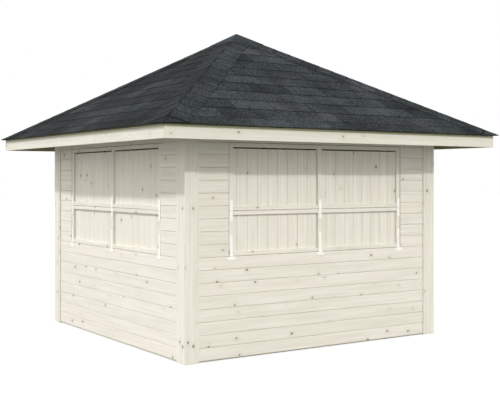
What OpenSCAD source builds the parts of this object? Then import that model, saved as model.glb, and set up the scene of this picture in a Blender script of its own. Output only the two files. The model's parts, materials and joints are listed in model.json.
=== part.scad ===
// Garden gazebo with a square plan: boarded walls, bi-fold window shutters, hipped shingle roof.
// Millimetres, +Z up, standing on z = 0. The front wall faces -Y, the open doorway is in the back wall.

/* [Walls] */
// Width and depth over the corner posts
plan_width = 3000; // [2400:10:4200]
// Side of a square corner post
post_size = 120; // [90:1:160]
// Face width of the lath between a post and the wall boards
lath_width = 28; // [18:1:45]
// How far the laths stand back from the post face
lath_setback = 2; // [0.5:0.5:8]
// How far the wall boards stand back from the post face
board_recess = 14; // [8:1:30]
// Thickness of a wall board
board_thickness = 18; // [12:1:28]
// Height that one wall board covers
board_cover = 114; // [80:1:150]
// Wall boards below the window sill
boards_below_sill = 8; // [5:1:10]
// Wall boards beside a window
boards_beside_window = 9; // [6:1:11]
// Wall boards above a window, partly behind the fascia
boards_above_window = 2; // [1:1:3]
// Air gap under the lowest board
ground_gap = 10; // [4:1:30]
// Depth of the V-joint between boards
joint_depth = 4; // [2:0.5:6]
// Width of the V-joint between boards
joint_width = 8; // [4:0.5:14]

/* [Wall framing] */
// Face width of studs and rails
stud_width = 45; // [35:1:70]
// Depth of studs, rails and top beams behind the boards
stud_depth = 45; // [35:1:70]
// Height of a top beam
beam_height = 145; // [95:1:200]
// Height of the top beams above the uppermost board
beam_lift = 40; // [10:1:80]
// Clear width of the doorway
door_width = 900; // [700:10:1200]

/* [Shutters] */
// Width of a window shutter
shutter_width = 2066; // [1400:2:2200]
// Gap around the shutter leaves
shutter_gap = 3; // [2:0.5:6]
// How far the shutter stands back from the post face
shutter_recess = 17; // [14:1:28]
// Thickness of the shutter frame
shutter_thickness = 40; // [38:1:50]
// Height of the lower leaf
lower_leaf_height = 406; // [300:2:600]
// Face width of the stiles
stile_width = 45; // [35:1:70]
// Height of the leaf rails
leaf_rail = 38; // [28:1:60]
// How far the panel boards stand back from the frame
panel_recess = 22; // [6:1:24]
// Thickness of the panel boards
panel_thickness = 14; // [8:1:15]
// Width that one panel board covers
panel_cover = 114; // [80:1:150]
// Width of the cut panel board beside the left stile
first_panel_board = 52; // [20:1:110]
// Height of the air gap over the panel boards of an upper leaf
vent_gap = 16; // [6:1:30]
// Depth of the stop behind a leaf, measured along the wall
stop_width = 20; // [10:1:30]

/* [Hinges] */
// Thickness of a hinge plate
hinge_plate = 4; // [2.5:0.5:6]
// Width of the foot plate under the sill
foot_width = 87; // [60:1:120]
// Height of the foot plate under the sill
foot_height = 33; // [22:1:50]
// Length of the strap on the lower leaf
strap_length = 190; // [120:1:240]
// Strap width at the knuckle
strap_root = 35; // [26:1:42]
// Strap width at the tip
strap_tip = 25; // [14:1:30]
// Width of the middle hinge plates
plate_width = 33; // [24:1:42]
// Length of each middle hinge plate
plate_length = 92; // [60:1:120]

/* [Roof] */
// Slope of the roof in degrees
roof_pitch = 29.85; // [22:0.05:40]
// How far the fascia stands out from the post face
fascia_reach = 427; // [250:1:600]
// How far the shingles reach past the fascia
shingle_lip = 40; // [15:1:60]
// Height of the strip between the fascia and the roof boards
eave_strip = 20; // [10:1:30]
// Height of the fascia
fascia_height = 95; // [75:1:140]
// Thickness of the fascia
fascia_thickness = 20; // [15:1:30]
// Thickness of the roof boards
deck_thickness = 23; // [16:1:28]
// Thickness of the shingle layer at a course's lower edge
shingle_thickness = 5; // [4:0.5:12]
// Step from one shingle course to the next
shingle_step = 3; // [1:0.5:3.5]
// Length of a shingle course along the slope
shingle_course = 194; // [120:1:250]
// Length of the lowest shingle course
eave_course = 146; // [100:1:220]
// Thickness of the hip caps
hip_cap_thickness = 4; // [3:0.5:8]
// Width of a hip cap on each side of the hip, along the slope
hip_cap_width = 175; // [110:1:240]
// Thickness of the apex cap
apex_cap_thickness = 5; // [3:0.5:8]
// Reach of the apex cap in plan
apex_cap_reach = 215; // [140:1:300]

/* [Roof framing] */
// Width of the rafters
rafter_width = 45; // [35:1:70]
// Depth of the rafters, square to the slope
rafter_depth = 120; // [110:1:170]
// Height of a rafter above the top beam at the post face
rafter_heel = 91; // [70:1:100]
// Distance between rafters
rafter_spacing = 560; // [400:10:650]
// Rafters on each side of the middle one
rafters_each_side = 2; // [1:1:2]
// Width of the king block across flats
king_size = 120; // [110:1:180]
// How far the king block hangs below the rafters
king_drop = 60; // [20:1:150]
// Height of the rafter tails above the fascia's lower edge
tail_lift = 15; // [5:1:40]
// Gap between pieces that meet at a mitre
mitre_gap = 0.5; // [0.2:0.1:2]

/* [Hidden] */
$fn = 48;
half = plan_width / 2;
span = half - post_size;
board_face = half - board_recess;
frame_face = board_face - board_thickness;
frame_back = frame_face - stud_depth;
board_end = span - lath_width;

sill_z = ground_gap + boards_below_sill * board_cover;
head_z = sill_z + boards_beside_window * board_cover;
wall_top_z = head_z + boards_above_window * board_cover;
beam_top_z = wall_top_z + beam_lift;
beam_z = beam_top_z - beam_height;

leaf_half = shutter_width / 2;
window_half = leaf_half + shutter_gap;
leaf_face = half - shutter_recess;
leaf_back = leaf_face - shutter_thickness;
panel_face = leaf_face - panel_recess;
lower_leaf_z = sill_z + shutter_gap;
lower_leaf_top_z = lower_leaf_z + lower_leaf_height;
upper_leaf_z = lower_leaf_top_z + shutter_gap;
upper_leaf_top_z = head_z - shutter_gap;
stile_places = [-leaf_half + stile_width / 2, 0, leaf_half - stile_width / 2];

rise = tan(roof_pitch);
slope_cos = cos(roof_pitch);
apex_z = beam_top_z + rafter_heel + half * rise;
fascia_face = half + fascia_reach;
fascia_back = fascia_face - fascia_thickness;
shingle_face = fascia_face + shingle_lip;
fascia_z = apex_z - fascia_face * rise - eave_strip - fascia_height;
tail_z = fascia_z + tail_lift;
shingle_n = deck_thickness + shingle_thickness;
cap_n = shingle_n + hip_cap_thickness;
apex_cap_n = cap_n + apex_cap_thickness;
slope_length = shingle_face / slope_cos;
course_count = ceil((slope_length - eave_course) / shingle_course) + 2;
cap_plan = hip_cap_width * sqrt(1 + slope_cos * slope_cos);
rafter_drop = rafter_depth / slope_cos;
king_z = apex_z - (king_size / 2) * rise - rafter_drop - king_drop;
reach = 2 * plan_width;

timber = "BurlyWood";
pale = "Wheat";
slate = "DimGray";
white = "White";

// Box between two corners
module box(a, b) {
  translate(a) cube(b - a);
}

// Stand a front-wall piece on another wall
module on_back() { rotate([0, 0, 180]) children(); }
module on_left() { rotate([0, 0, -90]) children(); }
module on_right() { rotate([0, 0, 90]) children(); }

// Extrude a profile of (y, z) points along X
module along_wall(x0, x1) {
  translate([x0, 0, 0]) rotate([90, 0, 90]) linear_extrude(height = x1 - x0) children();
}

// Section of a stack of tongued boards with V-joints on the outer face
module board_section(z0, count) {
  outer = [for (i = [0 : count - 1])
             for (p = [[joint_depth, 0], [0, joint_width / 2], [0, board_cover - joint_width / 2]])
               [-board_face + p[0], z0 + i * board_cover + p[1]]];
  top = z0 + count * board_cover;
  polygon(concat([[-frame_face, z0]], outer, [[-board_face + joint_depth, top], [-frame_face, top]]));
}

module boards(x0, x1, z0, count) {
  along_wall(x0, x1) board_section(z0, count);
}

// Posts, laths and top beams
module post() {
  box([-half, -half, 0], [-span, -span, beam_top_z]);
}

module front_left_post() color(pale) post();
module front_right_post() color(pale) rotate([0, 0, 90]) post();
module back_right_post() color(pale) rotate([0, 0, 180]) post();
module back_left_post() color(pale) rotate([0, 0, -90]) post();

module lath(x0) {
  box([x0, -half + lath_setback, 0], [x0 + lath_width, -frame_face, wall_top_z]);
}

module corner_laths() color(pale) {
  for (a = [0 : 90 : 270]) rotate([0, 0, a]) {
    lath(-span);
    lath(board_end);
  }
}

module top_beam() {
  box([-span, -frame_face, beam_z], [span, -frame_back, beam_top_z]);
}

module front_top_beam() color(timber) top_beam();
module back_top_beam() color(timber) on_back() top_beam();
module left_top_beam() color(timber) on_left() top_beam();
module right_top_beam() color(timber) on_right() top_beam();

module head_boards() color(pale) {
  for (a = [0 : 90 : 270]) rotate([0, 0, a]) boards(-board_end, board_end, head_z, boards_above_window);
}

// A wall with a window
module lower_boards() {
  boards(-board_end, board_end, ground_gap, boards_below_sill);
}

module side_boards() {
  boards(-board_end, -window_half, sill_z, boards_beside_window);
  boards(window_half, board_end, sill_z, boards_beside_window);
}

module end_stud() {
  box([span - stud_width, -frame_face, stud_width], [span, -frame_back, beam_z]);
}

// Window jamb with a rebate that stops the shutter
module jamb_stud() {
  box([window_half, -frame_face, sill_z], [window_half + stud_width, -frame_back, beam_z]);
  box([window_half - stop_width, -leaf_back, sill_z],
      [window_half + stud_width / 2, -frame_back, head_z]);
}

module window_studs() {
  for (m = [0, 1]) mirror([m, 0, 0]) {
    end_stud();
    jamb_stud();
  }
  box([-stud_width / 2, -frame_face, stud_width], [stud_width / 2, -frame_back, sill_z - stud_width]);
}

module window_rails() {
  box([-span, -frame_face, 0], [span, -frame_back, stud_width]);
  box([-span + stud_width, -frame_face, sill_z - stud_width], [span - stud_width, -frame_back, sill_z]);
  box([-window_half, -frame_face, head_z], [window_half, -frame_back, head_z + stud_width]);
}

// Panel of upright tongued boards, set out from the left stile and running on behind the middle one
module panel_section() {
  field = leaf_half - stile_width / 2;
  first = -leaf_half + stile_width + first_panel_board;
  count = floor((leaf_half - stile_width - joint_width - first) / panel_cover);
  joints = [for (i = [0 : count])
              for (p = [[-joint_width / 2, 0], [0, joint_depth], [joint_width / 2, 0]])
                [first + i * panel_cover + p[0], -panel_face + p[1]]];
  back = -panel_face + panel_thickness;
  polygon(concat([[-field, back], [-field, -panel_face]], joints, [[field, -panel_face], [field, back]]));
}

module shutter_leaf(z0, z1, panel_top) {
  difference() {
    box([-leaf_half, -leaf_face, z0], [leaf_half, -leaf_back, z1]);
    for (m = [0, 1]) mirror([m, 0, 0])
      box([stile_width / 2, -leaf_face - 1, z0 + leaf_rail],
          [leaf_half - stile_width, -leaf_back + 1, z1 - leaf_rail]);
  }
  translate([0, 0, z0 + leaf_rail / 2])
    linear_extrude(height = panel_top - z0 - leaf_rail / 2) panel_section();
}

module lower_shutter() {
  shutter_leaf(lower_leaf_z, lower_leaf_top_z, lower_leaf_top_z - leaf_rail / 2);
}

module upper_shutter() {
  shutter_leaf(upper_leaf_z, upper_leaf_top_z, upper_leaf_top_z - leaf_rail - vent_gap);
}

// Lay a plate outline of (x, z) points on a face that stands at y = -face
module plate_on(face) {
  translate([0, -face, 0]) rotate([90, 0, 0]) linear_extrude(height = hinge_plate) children();
}

module knuckle(face, z, width) {
  translate([-width / 2, -face - hinge_plate, z]) rotate([0, 90, 0]) cylinder(r = hinge_plate, h = width);
}

// T-hinge under the sill: foot on the wall board, tapered strap on the lower leaf
module sill_hinge() {
  plate_on(board_face) translate([-foot_width / 2, sill_z - foot_height]) square([foot_width, foot_height]);
  knuckle(board_face, lower_leaf_z, strap_root);
  plate_on(leaf_face) {
    tip_z = lower_leaf_z + strap_length - strap_tip / 2;
    polygon([[-strap_root / 2, lower_leaf_z], [strap_root / 2, lower_leaf_z],
             [strap_tip / 2, tip_z], [-strap_tip / 2, tip_z]]);
    translate([0, tip_z]) circle(r = strap_tip / 2);
  }
}

// Flap hinge between the two leaves
module middle_hinge() {
  plate_on(leaf_face) translate([-plate_width / 2, lower_leaf_top_z - plate_length])
    square([plate_width, 2 * plate_length + shutter_gap]);
  knuckle(leaf_face, lower_leaf_top_z + shutter_gap / 2, plate_width);
}

module hinges() {
  for (x = stile_places) translate([x, 0, 0]) {
    sill_hinge();
    middle_hinge();
  }
}

module front_lower_boards() color(pale) lower_boards();
module front_side_boards() color(pale) side_boards();
module front_studs() color(timber) window_studs();
module front_rails() color(timber) window_rails();
module front_lower_shutter() color(pale) lower_shutter();
module front_upper_shutter() color(pale) upper_shutter();
module front_hinges() color(white) hinges();

module left_lower_boards() color(pale) on_left() lower_boards();
module left_side_boards() color(pale) on_left() side_boards();
module left_studs() color(timber) on_left() window_studs();
module left_rails() color(timber) on_left() window_rails();
module left_lower_shutter() color(pale) on_left() lower_shutter();
module left_upper_shutter() color(pale) on_left() upper_shutter();
module left_hinges() color(white) on_left() hinges();

module right_lower_boards() color(pale) on_right() lower_boards();
module right_side_boards() color(pale) on_right() side_boards();
module right_studs() color(timber) on_right() window_studs();
module right_rails() color(timber) on_right() window_rails();
module right_lower_shutter() color(pale) on_right() lower_shutter();
module right_upper_shutter() color(pale) on_right() upper_shutter();
module right_hinges() color(white) on_right() hinges();

// The wall with the doorway
module back_boards() color(pale) on_back() {
  count = boards_below_sill + boards_beside_window;
  boards(-board_end, -door_width / 2, ground_gap, count);
  boards(door_width / 2, board_end, ground_gap, count);
}

module back_studs() color(timber) on_back() {
  middle = (door_width / 2 + span) / 2;
  for (m = [0, 1]) mirror([m, 0, 0]) {
    end_stud();
    box([door_width / 2, -frame_face, 0], [door_width / 2 + stud_width, -frame_back, beam_z]);
    box([middle - stud_width / 2, -frame_face, stud_width], [middle + stud_width / 2, -frame_back, beam_z]);
  }
}

module back_rails() color(timber) on_back() {
  for (m = [0, 1]) mirror([m, 0, 0])
    box([door_width / 2 + stud_width, -frame_face, 0], [span, -frame_back, stud_width]);
  box([-door_width / 2, -frame_face, head_z], [door_width / 2, -frame_back, head_z + stud_width]);
}

// Everything below the front slope's plane, moved outward by n
module below_slope(n) {
  translate([0, 0, apex_z]) rotate([roof_pitch, 0, 0])
    translate([-reach, -reach, n - reach]) cube([2 * reach, 2 * reach, reach]);
}

module below_slopes(n) {
  intersection_for (a = [0 : 90 : 270]) rotate([0, 0, a]) below_slope(n);
}

// Upright prism over a plan outline
module over_plan() {
  linear_extrude(height = apex_z + reach) children();
}

// Plan of one slope out to a given reach, with the mitre gap at its hips
module slope_plan(r) {
  polygon([[0, -mitre_gap], [r - mitre_gap, -r], [-r + mitre_gap, -r]]);
}

// Plan of one side of the eaves, mitred at the corners
module eave_plan() {
  a = fascia_face - mitre_gap;
  b = fascia_back - mitre_gap;
  polygon([[-a, -fascia_face], [a, -fascia_face], [b, -fascia_back], [-b, -fascia_back]]);
}

// Roof boards with the strip under their lower edge, and shingles
module deck_slope() {
  intersection() {
    translate([0, 0, apex_z]) rotate([roof_pitch, 0, 0])
      translate([-reach, -reach, 0]) cube([2 * reach, reach + deck_thickness, deck_thickness]);
    over_plan() slope_plan(fascia_face);
  }
  difference() {
    intersection() {
      over_plan() eave_plan();
      below_slope(deck_thickness / 2);
    }
    below_slope(-eave_strip * slope_cos);
  }
}

module roof_deck() color(timber) {
  for (a = [0 : 90 : 270]) rotate([0, 0, a]) deck_slope();
}

// Section of the shingle courses: v runs up the slope from the eave, n stands off the roof boards
function course_v(i) = i == 0 ? 0 : eave_course + (i - 1) * shingle_course;

module shingle_section() {
  courses = [for (i = [0 : course_count - 1])
               for (p = [[course_v(i), shingle_thickness], [course_v(i + 1), shingle_thickness - shingle_step]])
                 p];
  polygon(concat([[0, 0]], courses, [[course_v(course_count), 0]]));
}

module shingle_slope() {
  eave_v = slope_length + shingle_n * rise;
  intersection() {
    translate([-reach, 0, apex_z]) rotate([roof_pitch, 0, 0]) translate([0, -eave_v, deck_thickness])
      rotate([90, 0, 90]) linear_extrude(height = 2 * reach) shingle_section();
    over_plan() slope_plan(shingle_face);
  }
}

module front_shingles() color(slate) shingle_slope();
module back_shingles() color(slate) on_back() shingle_slope();
module left_shingles() color(slate) on_left() shingle_slope();
module right_shingles() color(slate) on_right() shingle_slope();

// Fascia boards, mitred at the corners and bevelled under the strip
module fascia_board() {
  intersection() {
    translate([0, 0, fascia_z]) linear_extrude(height = 2 * fascia_height) eave_plan();
    below_slope(-eave_strip * slope_cos);
  }
}

module fascia_boards() color(pale) {
  for (a = [0 : 90 : 270]) rotate([0, 0, a]) fascia_board();
}

// Caps over the hips and the apex
module cap_shell(n0, n1) {
  difference() {
    below_slopes(n1);
    below_slopes(n0);
  }
}

module hip_cap() {
  q = cap_plan;
  s = shingle_face;
  g = mitre_gap;
  intersection() {
    cap_shell(shingle_n, cap_n);
    over_plan() polygon([[g, -g], [g + q, -g], [s, q - s], [s, -s], [s - q, -s], [g, -g - q]]);
  }
}

module hip_caps() color(slate) {
  for (a = [0 : 90 : 270]) rotate([0, 0, a]) hip_cap();
}

module apex_cap() color(slate) {
  intersection() {
    cap_shell(cap_n, apex_cap_n);
    over_plan() square(2 * apex_cap_reach, center = true);
  }
}

// Rafters, notched over the top beams and posts
module wall_ring(inner) {
  difference() {
    box([-half, -half, 0], [half, half, beam_top_z]);
    box([-inner, -inner, -1], [inner, inner, beam_top_z + 1]);
  }
}

module eave_box() {
  box([-fascia_back, -fascia_back, tail_z], [fascia_back, fascia_back, apex_z]);
}

module hip_rafter() {
  x0 = king_size / 2;
  x1 = fascia_back * sqrt(2);
  hip_rise = rise / sqrt(2);
  difference() {
    intersection() {
      rotate([0, 0, -45]) rotate([90, 0, 0]) linear_extrude(height = rafter_width, center = true)
        polygon([[x0, apex_z - x0 * hip_rise], [x1, apex_z - x1 * hip_rise],
                 [x1, apex_z - x1 * hip_rise - rafter_drop], [x0, apex_z - x0 * hip_rise - rafter_drop]]);
      below_slope(0);
      on_right() below_slope(0);
      eave_box();
    }
    wall_ring(span);
  }
}

module hip_rafters() color(timber) {
  for (a = [0 : 90 : 270]) rotate([0, 0, a]) hip_rafter();
}

module jack_rafter(x) {
  near = king_size / 2;
  side = rafter_width / sqrt(2);
  far = fascia_back;
  difference() {
    intersection() {
      translate([x, 0, apex_z]) rotate([roof_pitch, 0, 0])
        translate([-rafter_width / 2, -reach, -rafter_depth]) cube([rafter_width, reach, rafter_depth]);
      over_plan() polygon([[near - side, -near], [far - side, -far], [side - far, -far], [side - near, -near]]);
      eave_box();
    }
    wall_ring(frame_back);
  }
}

module jack_rafters() color(timber) {
  n = rafters_each_side;
  for (a = [0 : 90 : 270]) rotate([0, 0, a])
    for (i = [-n : n]) jack_rafter(i * rafter_spacing);
}

module king_block() color(timber) {
  intersection() {
    translate([0, 0, king_z]) rotate([0, 0, 22.5])
      cylinder(d = king_size / cos(22.5), h = apex_z - king_z, $fn = 8);
    below_slopes(0);
  }
}

front_left_post();
front_right_post();
back_left_post();
back_right_post();
corner_laths();
front_top_beam();
back_top_beam();
left_top_beam();
right_top_beam();
head_boards();
front_lower_boards();
front_side_boards();
front_studs();
front_rails();
front_lower_shutter();
front_upper_shutter();
front_hinges();
left_lower_boards();
left_side_boards();
left_studs();
left_rails();
left_lower_shutter();
left_upper_shutter();
left_hinges();
right_lower_boards();
right_side_boards();
right_studs();
right_rails();
right_lower_shutter();
right_upper_shutter();
right_hinges();
back_boards();
back_studs();
back_rails();
roof_deck();
front_shingles();
back_shingles();
left_shingles();
right_shingles();
fascia_boards();
hip_caps();
apex_cap();
hip_rafters();
jack_rafters();
king_block();
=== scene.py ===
import json
import math
import random

import bmesh
import bpy
from mathutils import Matrix, Vector

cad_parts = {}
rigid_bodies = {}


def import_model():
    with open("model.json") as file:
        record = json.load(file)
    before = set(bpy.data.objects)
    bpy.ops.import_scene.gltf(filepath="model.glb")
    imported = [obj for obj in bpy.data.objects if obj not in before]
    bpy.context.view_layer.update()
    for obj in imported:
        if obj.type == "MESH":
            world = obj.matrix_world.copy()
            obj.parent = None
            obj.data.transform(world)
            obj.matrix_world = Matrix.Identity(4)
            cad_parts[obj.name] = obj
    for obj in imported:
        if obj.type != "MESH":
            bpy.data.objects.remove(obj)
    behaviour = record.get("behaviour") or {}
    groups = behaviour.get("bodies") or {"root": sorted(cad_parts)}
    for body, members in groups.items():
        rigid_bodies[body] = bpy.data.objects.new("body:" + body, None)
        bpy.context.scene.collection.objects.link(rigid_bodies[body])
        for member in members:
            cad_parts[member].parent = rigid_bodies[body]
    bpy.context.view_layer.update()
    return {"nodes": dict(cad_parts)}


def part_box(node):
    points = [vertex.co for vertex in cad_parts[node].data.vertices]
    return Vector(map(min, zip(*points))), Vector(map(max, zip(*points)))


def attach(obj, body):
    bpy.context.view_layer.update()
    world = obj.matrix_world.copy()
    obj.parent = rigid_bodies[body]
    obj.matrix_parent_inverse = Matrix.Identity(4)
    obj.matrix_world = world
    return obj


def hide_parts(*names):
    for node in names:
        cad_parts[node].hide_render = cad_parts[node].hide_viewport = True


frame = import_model()
scene = bpy.context.scene

# Turn of each side about Z, in degrees, from the front wall
sideTurns = {"front": 0, "right": 90, "back": 180, "left": -90}
windowSides = ("front", "left", "right")

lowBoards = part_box("front_lower_boards")
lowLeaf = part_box("front_lower_shutter")
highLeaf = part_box("front_upper_shutter")
wall = {
    "boardEnd": lowBoards[1].x,
    "boardFace": -lowBoards[0].y,
    "boardThickness": lowBoards[1].y - lowBoards[0].y,
    "boardStart": lowBoards[0].z,
    "sill": lowBoards[1].z,
    "head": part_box("front_side_boards")[1].z,
    "top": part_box("head_boards")[1].z,
    "leafHalf": lowLeaf[1].x,
    "leafFace": -lowLeaf[0].y,
    "leafBack": -lowLeaf[1].y,
}
roof = {
    "pitch": math.radians(29.85),
    "eave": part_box("front_shingles")[1].x,       # half width over the shingles
    "deckEave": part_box("roof_deck")[1].x,
    "deck": 0.023,
    "shingles": 0.005,
    "strip": 0.020,                              # between the fascia and the roof boards
    "fascia": 0.020,
    "mitre": 0.0005,
}
roof["apex"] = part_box("king_block")[1].z
roof["top"] = roof["deck"] + roof["shingles"]    # of the shingles, off the slope's plane
print("frame loaded:", len(frame["nodes"]), "nodes")


# Helpers for objects and meshes

meshing = {"weld": 1e-5, "flat": math.radians(0.5)}


def linkObject(name, mesh):
    made = bpy.data.objects.new(name, mesh)
    scene.collection.objects.link(made)
    return made


def turned(mesh, side):
    mesh.transform(Matrix.Rotation(math.radians(sideTurns[side]), 4, "Z"))
    return mesh


def storeGrain(mesh, places, domain="POINT"):
    grain = mesh.attributes.new("grain", "FLOAT_VECTOR", domain)
    grain.data.foreach_set("vector", [value for place in places for value in place])


def storeShare(mesh, name, values):
    share = mesh.attributes.new(name, "FLOAT", "POINT")
    share.data.foreach_set("value", values)


def newMesh(name, points, faces=()):
    mesh = bpy.data.meshes.new(name)
    mesh.from_pydata(points, [], faces)
    return mesh


def meshFrom(bm, name):
    mesh = bpy.data.meshes.new(name)
    bm.to_mesh(mesh)
    bm.free()
    return mesh


def slabFaces(rows, columns):
    # Faces of a sheet whose points run by row, then top and underside, then column
    faces = []
    for row in range(rows - 1):
        for column in range(columns - 1):
            near = 2 * row * columns + column
            far = near + 2 * columns
            faces.append((near, near + 1, far + 1, far))
            faces.append((near + columns, far + columns, far + columns + 1, near + columns + 1))
        for column in (0, columns - 1):
            near = 2 * row * columns + column
            faces.append((near, near + 2 * columns, near + 3 * columns, near + columns))
    for row in (0, rows - 1):
        for column in range(columns - 1):
            near = 2 * row * columns + column
            faces.append((near, near + columns, near + columns + 1, near + 1))
    return faces


def fromNode(node):
    bm = bmesh.new()
    bm.from_mesh(frame["nodes"][node].data)
    return bm


def weld(bm):
    bmesh.ops.remove_doubles(bm, verts=bm.verts, dist=meshing["weld"])
    bmesh.ops.dissolve_limit(bm, angle_limit=meshing["flat"], verts=bm.verts, edges=bm.edges)


def sharpEdges(bm, degrees):
    least = math.radians(degrees)
    return [edge for edge in bm.edges if edge.is_manifold and edge.calc_face_angle() > least]


def easeEdges(bm, edges, arris):
    bmesh.ops.bevel(bm, geom=edges, offset=arris, segments=2, profile=0.5, affect="EDGES",
                    clamp_overlap=True)


def cleaned(mesh, outward=False):
    bm = bmesh.new()
    bm.from_mesh(mesh)
    bmesh.ops.dissolve_degenerate(bm, dist=meshing["weld"], edges=bm.edges)
    if outward:
        bmesh.ops.recalc_face_normals(bm, faces=bm.faces)
    bm.to_mesh(mesh)
    bm.free()
    return mesh


def joined(name, meshes):
    parts = [linkObject(f"{name}.{i}", mesh) for i, mesh in enumerate(meshes)]
    with bpy.context.temp_override(active_object=parts[0], selected_editable_objects=parts):
        bpy.ops.object.join()
    mesh = parts[0].data
    bpy.data.objects.remove(parts[0])
    mesh.name = name
    return mesh


def finishPiece(name, mesh, slot, *nodes):
    piece = linkObject(name, mesh)
    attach(piece, "root")
    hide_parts(*nodes)
    return piece


# Helpers for node trees

def addNode(tree, kind, links=None, **settings):
    node = tree.nodes.new(kind)
    for key, value in settings.items():
        setattr(node, key, value)
    for key, value in (links or {}).items():
        if isinstance(value, bpy.types.NodeSocket):
            tree.links.new(value, node.inputs[key])
        else:
            node.inputs[key].default_value = value
    return node


def mathNode(tree, operation, first, second=0.0, clamp=False):
    node = addNode(tree, "ShaderNodeMath", {0: first, 1: second}, operation=operation, use_clamp=clamp)
    return node.outputs[0]


def vectorNode(tree, operation, first, second):
    return addNode(tree, "ShaderNodeVectorMath", {0: first, 1: second}, operation=operation).outputs[0]


def rangeNode(tree, value, low, high, newLow=0.0, newHigh=1.0):
    links = {0: value, 1: low, 2: high, 3: newLow, 4: newHigh}
    return addNode(tree, "ShaderNodeMapRange", links).outputs[0]


def noiseNode(tree, place, scale, detail):
    links = {"Vector": place, "Scale": scale, "Detail": detail}
    return addNode(tree, "ShaderNodeTexNoise", links).outputs[0]


def newTree(name, kind, inputs, outputs):
    tree = bpy.data.node_groups.new(name, kind)
    for label, socketKind in inputs.items():
        tree.interface.new_socket(label, in_out="INPUT", socket_type="NodeSocket" + socketKind)
    for label, socketKind in outputs.items():
        tree.interface.new_socket(label, in_out="OUTPUT", socket_type="NodeSocket" + socketKind)
    return tree, tree.nodes.new("NodeGroupInput").outputs, tree.nodes.new("NodeGroupOutput").inputs


def storeNode(tree, geometry, name, value, dataType, domain):
    links = {"Geometry": geometry, "Name": name, "Value": value}
    node = addNode(tree, "GeometryNodeStoreNamedAttribute", links, data_type=dataType, domain=domain)
    return node.outputs[0]


def namedNode(tree, name):
    node = addNode(tree, "GeometryNodeInputNamedAttribute", {"Name": name}, data_type="FLOAT_VECTOR")
    return node.outputs[0]


def positionParts(tree):
    place = tree.nodes.new("GeometryNodeInputPosition").outputs[0]
    return addNode(tree, "ShaderNodeSeparateXYZ", {0: place}).outputs


def grow(tree, values):
    holder = linkObject("grower", bpy.data.meshes.new("grower"))
    modifier = holder.modifiers.new("grow", "NODES")
    modifier.node_group = tree
    for item in tree.interface.items_tree:
        if item.in_out == "INPUT" and item.name in values:
            modifier[item.identifier] = values[item.name]
    depsgraph = bpy.context.evaluated_depsgraph_get()
    mesh = bpy.data.meshes.new_from_object(
        holder.evaluated_get(depsgraph), preserve_all_data_layers=True, depsgraph=depsgraph)
    holder.modifiers.clear()
    bpy.data.objects.remove(holder)
    return mesh


def growCopies(tree, template, values):
    mesh = grow(tree, {"Template": template, **values})
    bpy.data.objects.remove(template)
    return mesh


# Geometry trees

memberInputs = {"Template": "Object", "Shift": "Vector", "Seed": "Int", "Finish": "Material"}


def addMembers(tree, points, source):
    # A copy of the template at each point, with a tone and a place in the log of its own
    template = addNode(tree, "GeometryNodeObjectInfo", {"Object": source["Template"]})
    copies = addNode(tree, "GeometryNodeInstanceOnPoints",
                     {"Points": points, "Instance": template.outputs["Geometry"]}).outputs[0]
    tone = addNode(tree, "FunctionNodeRandomValue", {"Seed": source["Seed"]}, data_type="FLOAT")
    copies = storeNode(tree, copies, "tone", tone.outputs[1], "FLOAT", "INSTANCE")
    spread = addNode(tree, "FunctionNodeRandomValue",
                     {0: (-1, -1, -1), 1: (1, 1, 1), "Seed": source["Seed"]}, data_type="FLOAT_VECTOR")
    shift = vectorNode(tree, "MULTIPLY", spread.outputs[0], source["Shift"])
    copies = storeNode(tree, copies, "shift", shift, "FLOAT_VECTOR", "INSTANCE")
    solid = addNode(tree, "GeometryNodeRealizeInstances", {"Geometry": copies}).outputs[0]
    grain = vectorNode(tree, "ADD", namedNode(tree, "grain"), namedNode(tree, "shift"))
    solid = storeNode(tree, solid, "grain", grain, "FLOAT_VECTOR", "CORNER")
    return addNode(tree, "GeometryNodeRemoveAttribute", {"Geometry": solid, "Name": "shift"}).outputs[0]


def setFinish(tree, geometry, source, sink):
    done = addNode(tree, "GeometryNodeSetMaterial", {"Geometry": geometry, "Material": source["Finish"]})
    tree.links.new(done.outputs[0], sink["Geometry"])


def memberRowTree():
    # A straight row of like members, trimmed to a box
    inputs = {"Count": "Int", "Step": "Vector", "Low": "Vector", "High": "Vector", **memberInputs}
    tree, source, sink = newTree("memberRow", "GeometryNodeTree", inputs, {"Geometry": "Geometry"})
    line = addNode(tree, "GeometryNodeMeshLine", {"Count": source["Count"], "Offset": source["Step"]})
    members = addMembers(tree, line.outputs[0], source)
    place = tree.nodes.new("GeometryNodeInputPosition").outputs[0]
    place = vectorNode(tree, "MINIMUM", vectorNode(tree, "MAXIMUM", place, source["Low"]), source["High"])
    trimmed = addNode(tree, "GeometryNodeSetPosition", {"Geometry": members, "Position": place})
    setFinish(tree, trimmed.outputs[0], source, sink)
    return tree


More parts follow.
